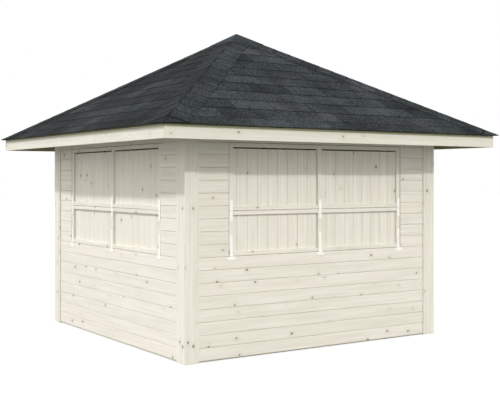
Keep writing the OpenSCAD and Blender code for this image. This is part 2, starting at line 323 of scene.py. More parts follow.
def slopeRowsTree():
    # Staggered rows up the front slope, cut at both hips
    inputs = {"Rows": "Int", "Columns": "Int", "Row Pitch": "Float", "First Row": "Float",
              "Column Pitch": "Float", "Stagger": "Float", "Eave": "Float", "Pitch": "Float",
              "Apex": "Float", "Mitre": "Float", **memberInputs}
    tree, source, sink = newTree("slopeRows", "GeometryNodeTree", inputs, {"Geometry": "Geometry"})
    count = mathNode(tree, "MULTIPLY", source["Rows"], source["Columns"])
    line = addNode(tree, "GeometryNodeMeshLine", {"Count": count})
    index = tree.nodes.new("GeometryNodeInputIndex").outputs[0]
    row = mathNode(tree, "FLOOR", mathNode(tree, "DIVIDE", index, source["Columns"]))
    column = mathNode(tree, "FLOORED_MODULO", index, source["Columns"])
    middle = mathNode(tree, "MULTIPLY", mathNode(tree, "SUBTRACT", source["Columns"], 1.0), 0.5)
    lag = mathNode(tree, "MULTIPLY", mathNode(tree, "FLOORED_MODULO", row, 2.0), source["Stagger"])
    steps = mathNode(tree, "ADD", mathNode(tree, "SUBTRACT", column, middle), lag)
    x = mathNode(tree, "MULTIPLY", steps, source["Column Pitch"])
    later = mathNode(tree, "MULTIPLY", mathNode(tree, "SUBTRACT", row, 1.0), source["Row Pitch"])
    up = mathNode(tree, "MAXIMUM", mathNode(tree, "ADD", later, source["First Row"]), 0.0)
    y = mathNode(tree, "SUBTRACT", up, source["Eave"])
    place = addNode(tree, "ShaderNodeCombineXYZ", {0: x, 1: y}).outputs[0]
    points = addNode(tree, "GeometryNodeSetPosition", {"Geometry": line.outputs[0], "Position": place})

    # Leave out what lies wholly beyond a hip
    spot = positionParts(tree)
    nearEdge = mathNode(tree, "SUBTRACT", mathNode(tree, "ABSOLUTE", spot[0]),
                        mathNode(tree, "MULTIPLY", source["Column Pitch"], 0.5))
    depth = mathNode(tree, "MULTIPLY", spot[1], mathNode(tree, "COSINE", source["Pitch"]))
    beyond = mathNode(tree, "GREATER_THAN", mathNode(tree, "ADD", nearEdge, depth), 0.0)
    kept = addNode(tree, "GeometryNodeDeleteGeometry", {"Geometry": points.outputs[0], "Selection": beyond})

    members = addMembers(tree, kept.outputs[0], source)
    turn = addNode(tree, "ShaderNodeCombineXYZ", {0: source["Pitch"]}).outputs[0]
    lift = addNode(tree, "ShaderNodeCombineXYZ", {2: source["Apex"]}).outputs[0]
    laid = addNode(tree, "GeometryNodeTransform",
                   {"Geometry": members, "Rotation": turn, "Translation": lift})
    spot = positionParts(tree)
    hip = mathNode(tree, "SUBTRACT", mathNode(tree, "MULTIPLY", spot[1], -1.0), source["Mitre"])
    hip = mathNode(tree, "MAXIMUM", hip, 0.0)
    x = mathNode(tree, "MINIMUM", spot[0], hip)
    x = mathNode(tree, "MAXIMUM", x, mathNode(tree, "MULTIPLY", hip, -1.0))
    place = addNode(tree, "ShaderNodeCombineXYZ", {0: x, 1: spot[1], 2: spot[2]}).outputs[0]
    cut = addNode(tree, "GeometryNodeSetPosition", {"Geometry": laid.outputs[0], "Position": place})
    setFinish(tree, cut.outputs[0], source, sink)
    return tree


def screwTree():
    # A screw head on each point, its slot turned at random
    inputs = {"Points": "Object", "Head": "Object", "Seed": "Int", "Finish": "Material"}
    tree, source, sink = newTree("screws", "GeometryNodeTree", inputs, {"Geometry": "Geometry"})
    points = addNode(tree, "GeometryNodeObjectInfo", {"Object": source["Points"]})
    head = addNode(tree, "GeometryNodeObjectInfo", {"Object": source["Head"]})
    turn = addNode(tree, "FunctionNodeRandomValue",
                   {0: (0, 0, 0), 1: (0, math.tau, 0), "Seed": source["Seed"]}, data_type="FLOAT_VECTOR")
    heads = addNode(tree, "GeometryNodeInstanceOnPoints",
                    {"Points": points.outputs["Geometry"], "Instance": head.outputs["Geometry"],
                     "Rotation": turn.outputs[0]})
    solid = addNode(tree, "GeometryNodeRealizeInstances", {"Geometry": heads.outputs[0]})
    setFinish(tree, solid.outputs[0], source, sink)
    return tree


memberRow = memberRowTree()
slopeRows = slopeRowsTree()
screws = screwTree()
untrimmed = {"Low": (-9.0, -9.0, -9.0), "High": (9.0, 9.0, 9.0)}     # a box that cuts nothing
print("geometry trees built")


# Shader groups

woodSizes = {
    "knotCells": 4.6,                        # cells per metre, each with one knot or none
    "knotStretch": (0.75, 1.0, 0.0),
    "knotEdge": 0.004,
    "halo": 0.035,                           # how far the fibres bend round a knot
    "haloPush": 0.014,
    "haloShade": 0.12,
    "pithDepth": 0.045,
    "wander": 0.06,
    "wanderStretch": (0.9, 5.0, 5.0),
    "streakStretch": (1.6, 42.0, 42.0),
    "driftStretch": (2.2, 9.0, 9.0),
    "fibreStretch": (9.0, 620.0, 620.0),
    "fibreHeight": 0.5,
    "ringHeight": 0.35,
    "driftSpread": 0.35,
    "bumpStrength": 0.5,
    "bumpDepth": 0.0006,
    "specular": 0.25,
}


def woodFigureGroup():
    # Rings round a pith, fibre streaks, knots and a slow drift, from a member's own grain coordinates
    inputs = {"Grain": "Vector", "Ring Spacing": "Float", "Knot Size": "Float", "Knot Share": "Float"}
    outputs = {"Rings": "Float", "Streaks": "Float", "Drift": "Float", "Knots": "Float", "Height": "Float"}
    group, source, sink = newTree("woodFigure", "ShaderNodeTree", inputs, outputs)
    grain = source["Grain"]

    def stretchedNoise(stretch, detail):
        return noiseNode(group, vectorNode(group, "MULTIPLY", grain, woodSizes[stretch]), 1.0, detail)

    def scaled(value, size):
        return mathNode(group, "MULTIPLY", value, woodSizes[size])

    flat = vectorNode(group, "MULTIPLY", grain, woodSizes["knotStretch"])
    cells = addNode(group, "ShaderNodeTexVoronoi", {"Vector": flat, "Scale": woodSizes["knotCells"]},
                    voronoi_dimensions="2D")
    distance = mathNode(group, "DIVIDE", cells.outputs["Distance"], woodSizes["knotCells"])
    pick = addNode(group, "ShaderNodeSeparateColor", {0: cells.outputs["Color"]}).outputs[0]
    excess = mathNode(group, "ADD", mathNode(group, "SUBTRACT", pick, 1.0), source["Knot Share"])
    radius = mathNode(group, "DIVIDE", excess, source["Knot Share"])
    radius = mathNode(group, "MULTIPLY", radius, source["Knot Size"])
    inside = mathNode(group, "SUBTRACT", radius, distance)
    knots = mathNode(group, "DIVIDE", inside, woodSizes["knotEdge"])
    knots = mathNode(group, "ADD", knots, 0.5, clamp=True)
    present = mathNode(group, "DIVIDE", radius, woodSizes["knotEdge"], clamp=True)
    halo = mathNode(group, "DIVIDE", inside, woodSizes["halo"])
    halo = mathNode(group, "MULTIPLY", mathNode(group, "ADD", halo, 1.0, clamp=True), present)

    parts = addNode(group, "ShaderNodeSeparateXYZ", {0: grain}).outputs
    across = mathNode(group, "POWER", parts[1], 2.0)
    through = mathNode(group, "POWER", mathNode(group, "ADD", parts[2], woodSizes["pithDepth"]), 2.0)
    reach = mathNode(group, "SQRT", mathNode(group, "ADD", across, through))
    reach = mathNode(group, "ADD", reach, scaled(stretchedNoise("wanderStretch", 2.0), "wander"))
    reach = mathNode(group, "ADD", reach, scaled(halo, "haloPush"))
    cycle = mathNode(group, "FRACT", mathNode(group, "DIVIDE", reach, source["Ring Spacing"]))
    rings = mathNode(group, "POWER", cycle, 3.0)
    fibres = scaled(stretchedNoise("fibreStretch", 1.0), "fibreHeight")
    results = {"Rings": rings,
               "Streaks": stretchedNoise("streakStretch", 3.0),
               "Drift": stretchedNoise("driftStretch", 2.0),
               "Knots": mathNode(group, "MAXIMUM", knots, scaled(halo, "haloShade")),
               "Height": mathNode(group, "SUBTRACT", fibres, scaled(rings, "ringHeight"))}
    for label, value in results.items():
        group.links.new(value, sink[label])
    return group


def granulesGroup():
    # Crushed stone pressed into a roofing sheet: single stones, clumps of them and wide patches
    inputs = {"Place": "Vector", "Grain Size": "Float", "Clump Size": "Float", "Patch Size": "Float"}
    outputs = {"Stones": "Float", "Clumps": "Float", "Patches": "Float", "Height": "Float"}
    group, source, sink = newTree("granules", "ShaderNodeTree", inputs, outputs)
    perMetre = mathNode(group, "DIVIDE", 1.0, source["Grain Size"])
    cells = addNode(group, "ShaderNodeTexVoronoi", {"Vector": source["Place"], "Scale": perMetre})
    stones = addNode(group, "ShaderNodeSeparateColor", {0: cells.outputs["Color"]}).outputs[0]
    height = mathNode(group, "SUBTRACT", 1.0, cells.outputs["Distance"], clamp=True)
    results = {"Stones": stones, "Height": height}
    for label, size in (("Clumps", "Clump Size"), ("Patches", "Patch Size")):
        noise = noiseNode(group, source["Place"], mathNode(group, "DIVIDE", 1.0, source[size]), 3.0)
        results[label] = rangeNode(group, noise, 0.3, 0.7, -0.5, 0.5)
    for label, value in results.items():
        group.links.new(value, sink[label])
    return group


woodFigure = woodFigureGroup()
granules = granulesGroup()


# Materials

def newMaterial(name):
    material = bpy.data.materials.new(name)
    material.use_nodes = True
    shader = material.node_tree.nodes["Principled BSDF"]
    return material, material.node_tree, shader


def attributeNode(tree, name, output):
    return addNode(tree, "ShaderNodeAttribute", attribute_name=name).outputs[output]


def rampNode(tree, factor, stops):
    ramp = addNode(tree, "ShaderNodeValToRGB", {0: factor})
    elements = ramp.color_ramp.elements
    while len(elements) < len(stops):
        elements.new(1.0)
    for element, (place, colour) in zip(elements, stops):
        element.position = place
        element.color = (*colour, 1.0)
    return ramp.outputs[0]


def mixNode(tree, factor, first, second, blend="MIX"):
    mix = addNode(tree, "ShaderNodeMix", {0: factor}, data_type="RGBA", blend_type=blend)
    for socket, value in ((mix.inputs[6], first), (mix.inputs[7], second)):
        if isinstance(value, bpy.types.NodeSocket):
            tree.links.new(value, socket)
        else:
            socket.default_value = (*value, 1.0)
    return mix.outputs[2]


def groupNode(tree, group, links, look):
    # A shader group, its other inputs set from the look
    node = addNode(tree, "ShaderNodeGroup", links, node_tree=group)
    for socket in node.inputs:
        if socket.name in look:
            socket.default_value = look[socket.name]
    return node.outputs


def setSurface(tree, shader, colour, mask, rough, height, strength, depth):
    # Colour, a roughness that follows a mask, and a bump
    tree.links.new(colour, shader.inputs["Base Color"])
    tree.links.new(rangeNode(tree, mask, 0.0, 1.0, *rough), shader.inputs["Roughness"])
    bump = addNode(tree, "ShaderNodeBump", {"Height": height, "Strength": strength, "Distance": depth})
    tree.links.new(bump.outputs[0], shader.inputs["Normal"])


def woodMaterial(name, look):
    material, tree, shader = newMaterial(name)
    figure = groupNode(tree, woodFigure, {"Grain": attributeNode(tree, "grain", "Vector")}, look)
    spread = woodSizes["driftSpread"]
    drift = rangeNode(tree, figure["Drift"], 0.3, 0.7, -spread, spread)
    tone = mathNode(tree, "ADD", attributeNode(tree, "tone", "Fac"), drift, clamp=True)
    colour = rampNode(tree, tone, look["tones"])
    masks = {"streak": rangeNode(tree, figure["Streaks"], 0.35, 0.7),
             "ring": figure["Rings"],
             "knot": figure["Knots"],
             "bare": attributeNode(tree, "bare", "Fac")}
    for label, mask in masks.items():
        share = mathNode(tree, "MULTIPLY", mask, look[label + "Depth"])
        colour = mixNode(tree, share, colour, look[label])
    setSurface(tree, shader, colour, figure["Rings"], look["rough"], figure["Height"],
               woodSizes["bumpStrength"], woodSizes["bumpDepth"])
    shader.inputs["Specular IOR Level"].default_value = woodSizes["specular"]
    return material


sheetDetail = {
    "hueTurns": 7.3,             # spreads a tab's tone over the two tints
    "foldShadeMiddle": 0.45,         # along a cap, as a share of its exposure
    "foldShadeHalf": 0.35,
    "foldShadeDepth": 0.9,
    "bumpStrength": 0.6,
    "bumpShare": 0.4,            # of the grain size
    "specular": 0.1,
}


def stoneSheetMaterial(name, look):
    material, tree, shader = newMaterial(name)
    place = addNode(tree, "ShaderNodeTexCoord").outputs["Object"]
    stone = groupNode(tree, granules, {"Place": place}, look)
    tone = mathNode(tree, "SUBTRACT", attributeNode(tree, "tone", "Fac"), 0.5)
    factor = 0.5
    for value, depth in ((tone, "toneDepth"), (stone["Patches"], "patchDepth"),
                         (stone["Clumps"], "clumpDepth")):
        factor = mathNode(tree, "ADD", mathNode(tree, "MULTIPLY", value, look[depth]), factor)
    colour = rampNode(tree, factor, look["tones"])
    hue = mathNode(tree, "MULTIPLY", attributeNode(tree, "tone", "Fac"), sheetDetail["hueTurns"])
    tint = mixNode(tree, mathNode(tree, "FRACT", hue), *look["tints"])
    colour = mixNode(tree, 1.0, colour, tint, "MULTIPLY")
    speckle = look["speckle"]
    stones = rangeNode(tree, stone["Stones"], 0.0, 1.0, 1.0 - speckle, 1.0 + speckle)
    grey = addNode(tree, "ShaderNodeCombineColor", {0: stones, 1: stones, 2: stones}).outputs[0]
    colour = mixNode(tree, 1.0, colour, grey, "MULTIPLY")

    # Painted shade, with tar and dirt, under the butt of the next course, where the grain's second part
    # reaches 1
    grain = addNode(tree, "ShaderNodeSeparateXYZ", {0: attributeNode(tree, "grain", "Vector")})
    across, along, foldShaded = grain.outputs
    ragged = mathNode(tree, "MULTIPLY", stone["Clumps"], look["ragged"])
    lap = mathNode(tree, "ADD", along, ragged)
    lap = rangeNode(tree, lap, 1.0 - look["lap"], 1.0, 0.0, look["lapDepth"])
    colour = mixNode(tree, lap, colour, look["tar"])

    # Painted shade: the marked caps get a dark line along their fold, in the middle of the exposure
    nearFold = mathNode(tree, "LESS_THAN", mathNode(tree, "ABSOLUTE", across), look["fold"])
    span = {0: along, 1: sheetDetail["foldShadeMiddle"], 2: sheetDetail["foldShadeHalf"]}
    nearMiddle = addNode(tree, "ShaderNodeMath", span, operation="COMPARE").outputs[0]
    foldShade = mathNode(tree, "MULTIPLY", mathNode(tree, "MULTIPLY", nearFold, nearMiddle), foldShaded)
    foldShade = mathNode(tree, "MULTIPLY", foldShade, sheetDetail["foldShadeDepth"])
    colour = mixNode(tree, foldShade, colour, look["tar"])
    setSurface(tree, shader, colour, stone["Stones"], look["rough"], stone["Height"],
               sheetDetail["bumpStrength"], look["Grain Size"] * sheetDetail["bumpShare"])
    shader.inputs["Specular IOR Level"].default_value = sheetDetail["specular"]
    return material


def paintMaterial(name, look):
    # Thick white paint on steel, with a little dust and orange peel
    material, tree, shader = newMaterial(name)
    place = addNode(tree, "ShaderNodeTexCoord").outputs["Object"]
    dust = noiseNode(tree, place, look["dustScale"], 4.0)
    peel = noiseNode(tree, place, look["peelScale"], 1.0)
    colour = mixNode(tree, rangeNode(tree, dust, 0.35, 0.8), look["paint"], look["dust"])
    setSurface(tree, shader, colour, dust, look["rough"], peel, look["peelStrength"], look["peelDepth"])
    return material


paleLook = {
    "tones": [(0.0, (0.83, 0.79, 0.705)), (0.5, (0.82, 0.795, 0.705)), (1.0, (0.79, 0.775, 0.68))],
    "streak": (0.64, 0.59, 0.47), "streakDepth": 0.45,
    "ring": (0.60, 0.53, 0.38), "ringDepth": 0.24,
    "knot": (0.27, 0.215, 0.12), "knotDepth": 0.9,
    "bare": (0.55, 0.46, 0.31), "bareDepth": 0.35,
    "rough": (0.5, 0.62), "Ring Spacing": 0.006, "Knot Size": 0.013, "Knot Share": 0.68,
}
# Painted shade: the fascia takes a slightly darker copy of the pale timber, for the weaker light on it
fasciaShadedTones = [(0.0, (0.76, 0.725, 0.635)), (0.5, (0.755, 0.73, 0.635)), (1.0, (0.73, 0.715, 0.615))]
paleTimber = woodMaterial("paleTimber", paleLook)
fasciaShadedTimber = woodMaterial("fasciaShadedTimber", {**paleLook, "tones": fasciaShadedTones})
# Frame timber: dark olive; part of its darkness is painted shade for the soffit and the inside under the
# roof
frameTimber = woodMaterial("frameTimber", {
    "tones": [(0.0, (0.33, 0.295, 0.165)), (0.5, (0.305, 0.28, 0.155)), (1.0, (0.28, 0.26, 0.145))],
    "streak": (0.235, 0.205, 0.105), "streakDepth": 0.35,
    "ring": (0.22, 0.175, 0.09), "ringDepth": 0.35,
    "knot": (0.12, 0.075, 0.04), "knotDepth": 0.9,
    "bare": (0.30, 0.26, 0.15), "bareDepth": 0.5,
    "rough": (0.5, 0.65), "Ring Spacing": 0.006, "Knot Size": 0.018, "Knot Share": 0.5,
})
# Strip timber: olive, darker than the fascia; part of its darkness is painted shade under the shingle lip
stripTimber = woodMaterial("stripTimber", {
    "tones": [(0.0, (0.52, 0.51, 0.32)), (0.5, (0.505, 0.50, 0.305)), (1.0, (0.475, 0.475, 0.29))],
    "streak": (0.43, 0.41, 0.235), "streakDepth": 0.35,
    "ring": (0.39, 0.36, 0.195), "ringDepth": 0.2,
    "knot": (0.22, 0.15, 0.08), "knotDepth": 0.9,
    "bare": (0.45, 0.40, 0.26), "bareDepth": 0.5,
    "rough": (0.5, 0.65), "Ring Spacing": 0.006, "Knot Size": 0.013, "Knot Share": 0.4,
})
slateLook = {
    "tones": [(0.0, (0.004, 0.005, 0.0056)), (0.5, (0.0185, 0.0230, 0.0247)), (1.0, (0.050, 0.058, 0.060))],
    "Grain Size": 0.0022, "Clump Size": 0.014, "Patch Size": 0.3, "speckle": 0.6, "rough": (0.8, 0.95),
    "toneDepth": 0.5, "patchDepth": 0.45, "clumpDepth": 1.15,
    "tints": ((0.96, 1.03, 0.95), (1.04, 0.97, 1.04)),
    # lap and lapDepth set the painted shade line under the next course's butt; tar is its colour
    "tar": (0.003, 0.004, 0.005), "lap": 0.075, "lapDepth": 0.85, "ragged": 0.03, "fold": 0.007,
}
shingleSheet = stoneSheetMaterial("shingleSheet", slateLook)
hipSheet = stoneSheetMaterial("hipSheet", {**slateLook, "lap": 0.08})
capSheet = stoneSheetMaterial("capSheet", {
    "tones": [(0.0, (0.009, 0.0115, 0.0145)), (0.5, (0.019, 0.0233, 0.028)), (1.0, (0.035, 0.040, 0.046))],
    "Grain Size": 0.0018, "Clump Size": 0.016, "Patch Size": 0.1, "speckle": 0.4, "rough": (0.7, 0.85),
    "toneDepth": 0.2, "patchDepth": 0.4, "clumpDepth": 0.3, "tints": ((1.0, 1.0, 1.0), (1.0, 1.0, 1.0)),
    "tar": (0.006, 0.008, 0.009), "lap": 0.02, "lapDepth": 0.0, "ragged": 0.0, "fold": 0.0,
})
hingeWhite = paintMaterial("hingeWhite", {
    "paint": (0.95, 0.935, 0.88), "dust": (0.90, 0.885, 0.83), "rough": (0.28, 0.5),
    "dustScale": 30.0, "peelScale": 900.0, "peelStrength": 0.2, "peelDepth": 0.0002,
})
print("materials built")


# Tongued boards

boards = {
    "cover": 0.114,
    "chamfer": 0.004,
    "gap": 0.001,                # open joint at the foot of the V
    "tongue": (0.005, 0.006),    # thickness, length
    "play": 0.0004,
    "doorHalf": 0.45,
    "windowGap": 0.005,
    "shift": (30.0, 0.05, 0.02),
    "seeds": {"window": 100, "head": 500, "door": 600},
}


def boardSection(cover, thickness, tongued=True, chamfer=boards["chamfer"]):
    # (across, depth) points: the V-jointed face is at depth 0
    gap = boards["gap"]
    play = boards["play"]
    thick, reach = boards["tongue"]
    near = (chamfer + thickness - thick) / 2
    far = near + thick
    face = [(gap, chamfer), (chamfer + gap, 0.0), (cover - chamfer, 0.0), (cover, chamfer)]
    tongue = [(cover, near), (cover + reach, near), (cover + reach, far), (cover, far)] if tongued else []
    grooveEnd = gap + reach + play
    groove = [(gap, far + play), (grooveEnd, far + play), (grooveEnd, near - play), (gap, near - play)]
    return [*face, *tongue, (cover, thickness), (gap, thickness), *groove]


def boardTemplate(name, section, start, end, place):
    count = len(section)
    points = [(along, across, depth) for along in (start, end) for across, depth in section]
    sides = [(i, (i + 1) % count, count + (i + 1) % count, count + i) for i in range(count)]
    caps = [tuple(range(count)), tuple(range(count, 2 * count))]
    mesh = newMesh(name, [place(*point) for point in points], sides + caps)
    storeGrain(mesh, points)
    back = max(depth for across, depth in section)
    storeShare(mesh, "bare", [float(0.0 < depth < back) for along, across, depth in points])
    return linkObject(name, cleaned(mesh, outward=True))


def wallRun(x0, x1, z0, count, seed, tongued=True):
    # A stack of level wall boards on the front wall
    def place(along, across, depth):
        return (along, depth - wall["boardFace"], z0 + across)

    section = boardSection(boards["cover"], wall["boardThickness"], tongued)
    template = boardTemplate("wallBoard", section, x0, x1, place)
    return growCopies(memberRow, template, {
        "Count": count, "Step": (0.0, 0.0, boards["cover"]), "Shift": boards["shift"], "Seed": seed,
        "Finish": paleTimber, **untrimmed})


def rowCount(low, high):
    return round((high - low) / boards["cover"])


end = wall["boardEnd"]
windowHalf = wall["leafHalf"] + boards["windowGap"]
sillRows = rowCount(wall["boardStart"], wall["sill"])
windowRows = rowCount(wall["sill"], wall["head"])
headRows = rowCount(wall["head"], wall["top"])
for number, side in enumerate(windowSides):
    seed = boards["seeds"]["window"] * (number + 1)
    topBoard = wall["sill"] - boards["cover"]
    lower = [wallRun(-end, end, wall["boardStart"], sillRows - 1, seed),
             wallRun(-end, end, topBoard, 1, seed + 1, tongued=False)]
    beside = [wallRun(-end, -windowHalf, wall["sill"], windowRows, seed + 2),
              wallRun(windowHalf, end, wall["sill"], windowRows, seed + 3)]
    lower = turned(joined("lower", lower), side)
    beside = turned(joined("beside", beside), side)
    finishPiece(f"{side}LowerBoards", lower, "pale_timber", f"{side}_lower_boards")
    finishPiece(f"{side}SideBoards", beside, "pale_timber", f"{side}_side_boards")
heads = [turned(wallRun(-end, end, wall["head"], headRows, boards["seeds"]["head"] + number), side)
         for number, side in enumerate(sideTurns)]
finishPiece("headBoards", joined("heads", heads), "pale_timber", "head_boards")
seed = boards["seeds"]["door"]
besideDoor = [wallRun(-end, -boards["doorHalf"], wall["boardStart"], sillRows + windowRows, seed),
              wallRun(boards["doorHalf"], end, wall["boardStart"], sillRows + windowRows, seed + 1)]
finishPiece("backBoards", turned(joined("besideDoor", besideDoor), "back"), "pale_timber", "back_boards")
print("wall boards built")


# Solid timbers: posts, laths, beams, studs, rails, rafters, fascia

timbers = {
    "arris": 0.0025,
    "fasciaArris": 0.0008,
    "sharp": 25,                 # degrees; sharper edges are eased
    "flank": 0.1,                # a face whose normal leans less than this along the member runs along it
    "facing": 0.5,               # least share of a normal that points the way asked for
    "soleTop": 0.1,              # faces below this height belong to the sole rails
    "shift": (25.0, 0.03, 0.03),
    "seeds": {"pale": 26, "fascia": 36, "frame": 60},
}


def islandsOf(bm):
    seen = set()
    for first in bm.verts:
        if first in seen:
            continue
        island = [first]
        seen.add(first)
        for vert in island:
            for edge in vert.link_edges:
                other = edge.other_vert(vert)
                if other not in seen:
                    seen.add(other)
                    island.append(other)
        yield island


def timberAxes(island):
    # Along the longest edge, then through the widest face. Lists keep the choice between equal
    # ones the same each run, which sets would not.
    flank = timbers["flank"]
    edges = [edge for vert in island for edge in vert.link_edges]
    longest = max(edges, key=lambda edge: edge.calc_length())
    along = (longest.verts[1].co - longest.verts[0].co).normalized()
    faces = [face for vert in island for face in vert.link_faces if abs(face.normal.dot(along)) < flank]
    through = max(faces, key=lambda face: face.calc_area()).normal
    across = through.cross(along).normalized()
    return along, across, across.cross(along).normalized()


def timberMesh(bm, finish, arris, seed):
    # Ease the edges and lay each member's grain along it
    weld(bm)
    easeEdges(bm, sharpEdges(bm, timbers["sharp"]), arris)
    bmesh.ops.recalc_face_normals(bm, faces=bm.faces)
    draw = random.Random(seed)
    bm.verts.index_update()
    members = {}
    tones = [0.0] * len(bm.verts)
    for island in islandsOf(bm):
        axes = timberAxes(island)
        centre = sum((vert.co for vert in island), Vector()) / len(island)
        shift = [draw.uniform(-size, size) for size in timbers["shift"]]
        tone = draw.random()
        for vert in island:
            members[vert] = (axes, centre, shift)
            tones[vert.index] = tone

    # Each face lies flat in the log, so that knots are round on all of them
    grain = []
    for face in bm.faces:
        (along, across, through), centre, shift = members[face.verts[0]]
        if abs(face.normal.dot(across)) > abs(face.normal.dot(through)):
            across, through = through, across
        for vert in face.verts:
            place = vert.co - centre
            grain.append([place.dot(axis) + extra for axis, extra in zip((along, across, through), shift)])
    mesh = meshFrom(bm, "timbers")
    storeGrain(mesh, grain, "CORNER")
    storeShare(mesh, "tone", tones)
    mesh.materials.append(finish)
    return mesh


def timberFromNode(node, finish, seed, arris=timbers["arris"]):
    return timberMesh(fromNode(node), finish, arris, seed)


def outwardness(face):
    return face.normal.xy.dot(face.center.xy.normalized())


def facedWith(mesh, finish, chosen):
    # Give the chosen faces another finish
    mesh.materials.append(finish)
    for face in mesh.polygons:
        face.material_index = int(chosen(face))
    return mesh


def fasciaMesh(seed):
    # The back is left bare, in the dark frame timber, which also paints the shade inside the eave
    mesh = timberFromNode("fascia_boards", fasciaShadedTimber, seed, timbers["fasciaArris"])
    return facedWith(mesh, frameTimber, lambda face: outwardness(face) < -timbers["facing"])


def frameMesh(node, seed):
    # The sole's outer face, seen under the boards, is pale like them: painted light in the shaded gap under
    # the boards
    mesh = timberFromNode(node, frameTimber, seed)
    top = timbers["soleTop"]
    facing = timbers["facing"]
    return facedWith(mesh, paleTimber, lambda face: outwardness(face) > facing and face.center.z < top)


paleNodes = ["front_left_post", "front_right_post", "back_left_post", "back_right_post", "corner_laths"]
frameNodes = [f"{side}_{part}" for side in sideTurns for part in ("top_beam", "studs", "rails")]
frameNodes += ["hip_rafters", "jack_rafters", "king_block"]
seeds = timbers["seeds"]
for number, node in enumerate(paleNodes):
    mesh = timberFromNode(node, paleTimber, seeds["pale"] + number)
    finishPiece(f"{node}_planed", mesh, "pale_timber", node)
finishPiece("fascia_boards_planed", fasciaMesh(seeds["fascia"]), "pale_timber", "fascia_boards")
for number, node in enumerate(frameNodes):
    finishPiece(f"{node}_planed", frameMesh(node, seeds["frame"] + number), "frame_timber", node)
print("solid timbers built")


# Bi-fold window shutters

shutters = {
    "stile": 0.045,
    "rail": 0.038,
    "panelRecess": 0.022,
    "panelThickness": 0.014,
    "panelChamfer": 0.0022,
    "panelCover": 0.114,
    "firstBoard": 0.052,
    "housing": 0.008,      # how far the panel boards run into the frame
    "vent": 0.013,         # air gap over the panel boards of an upper leaf
    "shoulder": 0.0002,
    "arris": 0.0025,
    "seed": 700,
}


def addBar(bm, low, high):
    size = Vector(high) - Vector(low)
    centre = (Vector(high) + Vector(low)) / 2
    bmesh.ops.create_cube(bm, size=1.0, matrix=Matrix.LocRotScale(centre, None, size))


def leafFrame(z0, z1, seed):
    bm = bmesh.new()
    half = wall["leafHalf"]
    stile = shutters["stile"]
    rail = shutters["rail"]
    shoulder = shutters["shoulder"]
    outer = -wall["leafFace"]
    inner = -wall["leafBack"]
    for x in (-half, -stile / 2, half - stile):
        addBar(bm, (x, outer, z0), (x + stile, inner, z1))
    for x0, x1 in ((-half + stile, -stile / 2), (stile / 2, half - stile)):
        for z in (z0, z1 - rail):
            addBar(bm, (x0 + shoulder, outer, z), (x1 - shoulder, inner, z + rail))
    return timberMesh(bm, paleTimber, shutters["arris"], seed)


def leafPanels(z0, z1, vented, seed):
    half = wall["leafHalf"]
    stile = shutters["stile"]
    housing = shutters["housing"]
    cover = shutters["panelCover"]
    face = wall["leafFace"] - shutters["panelRecess"]
    start = -half + stile + shutters["firstBoard"] - cover
    foot = z0 + shutters["rail"] - housing
    top = z1 - shutters["rail"] + (-shutters["vent"] if vented else housing)

    def place(along, across, depth):
        return (start + across, depth - face, along)

    section = boardSection(cover, shutters["panelThickness"], chamfer=shutters["panelChamfer"])
    template = boardTemplate("panelBoard", section, foot, top, place)
    count = math.ceil((2 * half - 2 * stile + housing - shutters["firstBoard"]) / cover) + 1
    edge = half - stile + housing
    return cleaned(growCopies(memberRow, template, {
        "Count": count, "Step": (cover, 0.0, 0.0), "Shift": boards["shift"], "Seed": seed,
        "Low": (-edge, *untrimmed["Low"][1:]), "High": (edge, *untrimmed["High"][1:]),
        "Finish": paleTimber}))


for number, side in enumerate(windowSides):
    for leaf, box in (("lower", lowLeaf), ("upper", highLeaf)):
        z0 = box[0].z
        z1 = box[1].z
        upper = leaf == "upper"
        seed = shutters["seed"] + 10 * number + upper
        mesh = joined("leaf", [leafFrame(z0, z1, seed), leafPanels(z0, z1, upper, seed + 2)])
        name = f"{side}{leaf.title()}Shutter"
        finishPiece(name, turned(mesh, side), "pale_timber", f"{side}_{leaf}_shutter")
print("shutters built")


# Hinges

hinges = {
    "sharp": 40,
    "arris": 0.0008,
    "plate": 0.004,
    "footHeight": 0.033,
    "footScrews": (0.031, 0.009),      # half spacing across and up
    "strapScrews": (0.035, 0.090, 0.145),
    "plateScrews": (0.024, 0.052, 0.080),
    "plateStagger": 0.007,
    "screwRadius": 0.0042,
    "screwHeight": 0.0015,
    "seed": 800,
}


def hingePlates(node):
    bm = fromNode(node)
    weld(bm)
    easeEdges(bm, sharpEdges(bm, hinges["sharp"]), hinges["arris"])
    mesh = meshFrom(bm, "plates")
    mesh.materials.append(hingeWhite)
    return mesh


def screwHead():
    # Low domed head with a cross recess, facing -Y; each ring is a share of the radius and the height
    corners = 12
    domeRings = 3
    crossWaist = 0.45
    rings = [(1.0, 0.0), (1.0, 0.25), (0.72, 0.85), (0.4, 1.0), (0.22, 0.45)]
    points = []
    for ring, (outShare, upShare) in enumerate(rings):
        for corner in range(corners):
            spoke = 1.0 if ring < domeRings or corner % 3 == 0 else crossWaist
            reach = hinges["screwRadius"] * outShare * spoke
            angle = math.tau * corner / corners
            height = hinges["screwHeight"] * upShare
            points.append((reach * math.cos(angle), -height, reach * math.sin(angle)))
    faces = [tuple(range(corners)), tuple(range(len(points) - corners, len(points)))]
    for ring in range(len(rings) - 1):
        for corner in range(corners):
            here = ring * corners + corner
            beside = ring * corners + (corner + 1) % corners
            faces.append((here, beside, beside + corners, here + corners))
    return linkObject("screwHead", cleaned(newMesh("screwHead", points, faces), outward=True))


